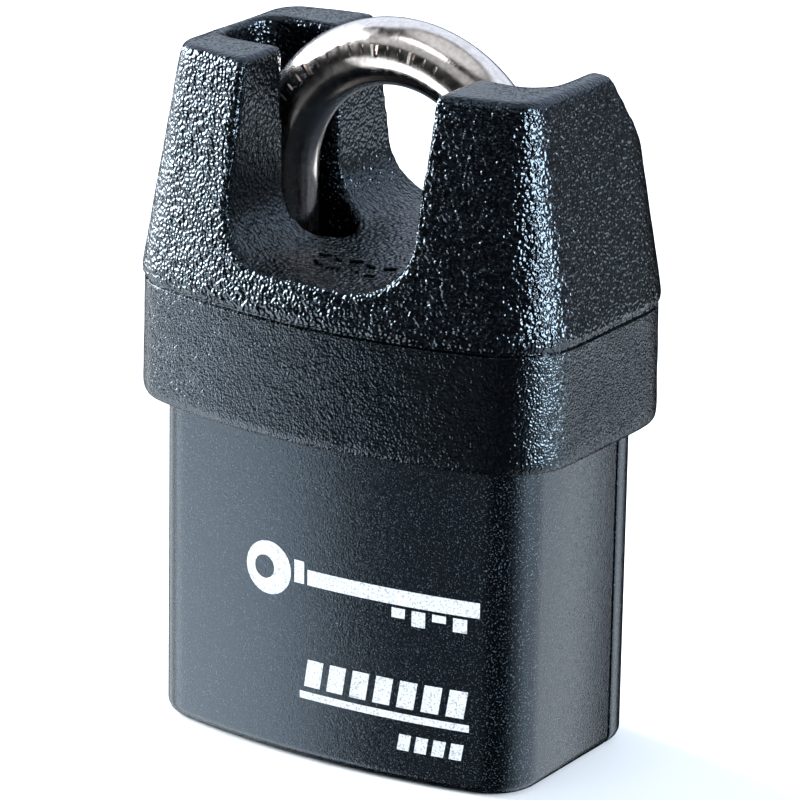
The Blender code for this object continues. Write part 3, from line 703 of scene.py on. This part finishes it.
def groove_tool(depth):
    """Ring that cuts the groove round the heel leg."""
    half = BALL_R + GAP
    middle = BALL_Z - LIFT
    neck = SHACKLE_R - depth
    outside = SHACKLE_R + 1
    profile = [(neck, half - depth), (outside, half + 1), (outside, -half - 1), (neck, depth - half)]
    shape = bmesh.new()
    rings = []
    for j in range(BAR_SIDES):
        angle = 2 * math.pi * j / BAR_SIDES
        ring = []
        for r, z in profile:
            ring.append(shape.verts.new((r * math.cos(angle) - LEG_X, r * math.sin(angle), middle + z)))
        rings.append(ring)
    for j in range(BAR_SIDES):
        one, two = rings[j], rings[(j + 1) % BAR_SIDES]
        for i in range(4):
            k = (i + 1) % 4
            shape.faces.new((one[i], one[k], two[k], two[i]))
    return mesh_object("groove_tool", shape)


def bright_shackle(material):
    """Fine version of the CAD bar with its notches, flat and groove, and plain stamped dashes."""
    end = 0.7
    points = [(-LEG_X, SHACKLE_LOW.z + end * i / 3) for i in range(4)]
    points += [(-LEG_X, z) for z in (30, 40, 50, 60)]
    points += arc(0, BOW_Z, LEG_X, 180, 0, 88)
    points += [(LEG_X, z) for z in (60, 52, TOE_END_Z + end, TOE_END_Z)]
    made = round_bar("shackle_bar", points, SHACKLE_R, BAR_SIDES)
    depth = BALL_OUT_X + BALL_R - (LEG_X - SHACKLE_R)
    subtract(made, ball_tool(BALL_OUT_X, BALL_Z))
    subtract(made, ball_tool(-BALL_OUT_X, BALL_Z))
    face = -LEG_X + SHACKLE_R - depth - GAP
    flat_reach = 5
    middle = Vector((face + flat_reach / 2, 0, BALL_Z - LIFT / 2))
    subtract(made, box_tool(Matrix.Translation(middle), (flat_reach, 10, LIFT)))
    subtract(made, groove_tool(depth + GAP))
    stamp(made)
    bevel(made, 0.35, 3, 50)
    weld(made, 0.01)
    smooth_shading(made, 30)
    finish_piece(made, material, "shackle", "shackle_chrome", "shackle")


def stamp(bar):
    """Press a row of plain dashes into the front of the bow, in place of stamped lettering."""
    first, step, count = 146, 5.6, 15
    depth, width = 0.7, 0.34
    shape = bmesh.new()
    for i in range(count):
        turn = math.radians(first - step * i)
        middle = Matrix.Translation((0, 0, BOW_Z)) @ Matrix.Rotation(-turn, 4, "Y")
        place = middle @ Matrix.Translation((LEG_X + 0.9, -SHACKLE_R, 0))
        length = 1.1 if i % 3 else 1.5
        verts = bmesh.ops.create_cube(shape, size=1.0)["verts"]
        bmesh.ops.transform(shape, matrix=place @ Matrix.Diagonal((length, depth, width, 1)), verts=verts)
    subtract(bar, mesh_object("stamp_tool", shape))


# ---------------------------------------------------------------- studio

# Softboxes: azimuth from and to, elevation from and to, strength, and half-width of the soft edge.
PANELS = (
    # left: the key light, a weak part under it, a long low card and a low one further round
    (-106, -63, -2, 36, 28.0, 2.0),
    (-88, -40, -14, -2, 0.3, 1.0),
    (-88, -34.5, -52, -14, 4.3, 1.0),
    (-125, -96, -52, -5, 1.6, 3.0),
    # front: low, high and a bright strip above
    (-29, 12, -42, -10, 0.3, 4),
    (-50, 70, 26, 50, 0.5, 4),
    (-45, -5, 50, 60, 5.0, 2),
    # right: a bright strip, a weaker part under it, low cards that add up in steps, a dim level one
    (82, 106, -8, 30, 36.0, 2),
    (90, 112, -17, -8, 2.6, 2),
    (68, 168, -70, -15, 0.6, 4),
    (82, 168, -70, -15, 0.65, 4),
    (96, 168, -70, -15, 0.75, 4),
    (118, 166, -13, 12, 0.26, 3),
    # overhead, all round
    (-179, 179, 66, 95, 0.85, 5),
)
# The same for the cooler one behind, whose azimuth is counted from the rear.
REAR_PANEL = (-80, 80, 9, 60, 1.3, 6)
BASE_LIGHT = 0.015
STUDIO_COLOUR = (0.87, 0.94, 1.0)
REAR_COLOUR = (0.72, 0.83, 1.0)
FLOOR_SIZE = 3000.0
SURROUND_SIZE = 2900.0


def panel(look, azimuth, elevation, low, high, bottom, top, strength, soft):
    """Soft-edged lit rectangle on the sky, its limits in degrees."""
    mask = None
    for source, start, end in ((azimuth, low, high), (elevation, bottom, top)):
        for edge, rising in ((start, 1.0), (end, 0.0)):
            step = look.ramp(source, edge - soft, edge + soft, 1.0 - rising, rising)
            step.node.interpolation_type = "SMOOTHSTEP"
            mask = step if mask is None else look.math("MULTIPLY", mask, step)
    return look.math("MULTIPLY", mask, strength)


class Sky(Look):
    """The same wiring helpers on a world's node tree."""

    def __init__(self, name):
        self.world = bpy.data.worlds.new(name)
        self.world.use_nodes = True
        self.tree = self.world.node_tree
        self.place = self.tree.nodes.new("ShaderNodeTexCoord").outputs["Generated"]


def make_world():
    """Studio round the object: softboxes as panels of light, azimuth 0 in front and 90 at the right."""
    sky = Sky("studio")
    split = sky.node("ShaderNodeSeparateXYZ")
    sky.link(sky.place, split.inputs["Vector"])
    x, y, z = (split.outputs[axis] for axis in "XYZ")
    degrees = 180 / math.pi
    front = sky.math("MULTIPLY", sky.math("ARCTAN2", x, sky.math("MULTIPLY", y, -1.0)), degrees)
    rear = sky.math("MULTIPLY", sky.math("ARCTAN2", sky.math("MULTIPLY", x, -1.0), y), degrees)
    height = sky.math("MULTIPLY", sky.math("ARCSINE", z, 0.0), degrees)
    total = panel(sky, rear, height, *REAR_PANEL)
    colour = sky.blend(total, STUDIO_COLOUR, REAR_COLOUR)
    for limits in PANELS:
        total = sky.math("ADD", total, panel(sky, front, height, *limits))
    total = sky.math("ADD", total, BASE_LIGHT)
    background = sky.tree.nodes["Background"]
    sky.link(colour, background.inputs["Color"])
    sky.link(total, background.inputs["Strength"])
    bpy.context.scene.world = sky.world


def make_floor():
    """Pale floor, and a white surround that only the camera sees. Neither shows in reflections."""
    floor_shape = bmesh.new()
    bmesh.ops.create_grid(floor_shape, x_segments=1, y_segments=1, size=FLOOR_SIZE)
    floor = mesh_object("floor", floor_shape)
    m = Look("floor_paper", (0.9, 0.9, 0.9), 0.8)
    tone = m.blend(m.noise(20.0, 3.0), (0.93, 0.93, 0.93), (0.9, 0.9, 0.905))
    set_material(floor, m.set(colour=tone))
    floor.visible_glossy = False
    dome_shape = bmesh.new()
    bmesh.ops.create_uvsphere(dome_shape, u_segments=48, v_segments=24, radius=SURROUND_SIZE)
    dome = mesh_object("surround", dome_shape)
    m = Look("surround_white", (1, 1, 1), 1.0)
    m.shader.inputs["Emission Color"].default_value = (1, 1, 1, 1)
    m.shader.inputs["Emission Strength"].default_value = 1.0
    set_material(dome, m.material)
    dome.visible_glossy = False
    dome.visible_diffuse = False
    dome.visible_shadow = False
    dome.visible_transmission = False
    dome.visible_volume_scatter = False


def make_camera():
    """Long lens at the place the outlines gave."""
    azimuth, elevation, roll = (math.radians(v) for v in (VIEW_AZIMUTH, VIEW_ELEVATION, VIEW_ROLL))
    back = Vector((
        math.sin(azimuth) * math.cos(elevation),
        -math.cos(azimuth) * math.cos(elevation),
        math.sin(elevation),
    ))
    right = Vector((0, 0, 1)).cross(back).normalized()
    up = back.cross(right)
    turned_right = math.cos(roll) * right + math.sin(roll) * up
    turned_up = math.cos(roll) * up - math.sin(roll) * right
    camera = new_object("camera", bpy.data.cameras.new("camera"))
    camera.data.lens = LENS
    camera.data.clip_start = 0.01
    turn = Matrix((turned_right, turned_up, back)).transposed().to_4x4()
    camera.matrix_world = Matrix.Translation(VIEW_TARGET + VIEW_DISTANCE * back) @ turn
    bpy.context.scene.camera = camera


# ---------------------------------------------------------------- build

make_camera()
make_world()
make_floor()
bpy.context.scene.view_settings.view_transform = "Standard"

paint = cast_paint()
cast_shroud(paint)
cast_marks(paint)
moulding = moulded_cover()
front = moulded_half("front_cover_moulding", FRONT_HIGH.y - SEAM_SHY, FRONT_HIGH.z, False)
finish_piece(front, moulding, "lock_body", "cover_front_plastic", "front_cover")
rear = moulded_half("rear_cover_moulding", -REAR_LOW.y, REAR_HIGH.z, True)
finish_piece(rear, moulding, "lock_body", "cover_rear_plastic", "rear_cover")
for side, side_name in ((-1, "left"), (1, "right")):
    tongue = seam_tongue(f"rear_cover_tongue_{side_name}", side)
    finish_piece(tongue, moulding, "lock_body", "cover_rear_plastic")
front_print(printed_ink())
bright_shackle(polished_shackle())

pressed = metal("plate_steel", (0.5, 0.49, 0.47), (0.3, 0.29, 0.28), 0.35, 0.3, (0.15, 1, 1))
dark_steel = metal("dark_steel", (0.3, 0.295, 0.29), (0.16, 0.155, 0.15), 0.42, 0.4)
bright_steel = metal("bright_steel", (0.62, 0.62, 0.62), (0.45, 0.45, 0.46), 0.22, 0.25)
brass = metal("brass", (0.76, 0.58, 0.3), (0.6, 0.42, 0.2), 0.28, 0.3)
plug_brass = metal("plug_brass", (0.8, 0.62, 0.33), (0.66, 0.48, 0.24), 0.22, 0.25, (0.2, 0.2, 1))
SLOT_LOOKS = {
    "plate_steel": pressed,
    "rivet_steel": bright_steel,
    "spring_steel": bright_steel,
    "ball_steel": bright_steel,
    "screw_steel": dark_steel,
    "clip_steel": dark_steel,
    "cam_steel": dark_steel,
    "brass": brass,
    "plug_brass": plug_brass,
}
for row in frame["record"]["subparts"]:
    if row["material_slot"] in SLOT_LOOKS:
        set_material(NODES[row["node"]], SLOT_LOOKS[row["material_slot"]])
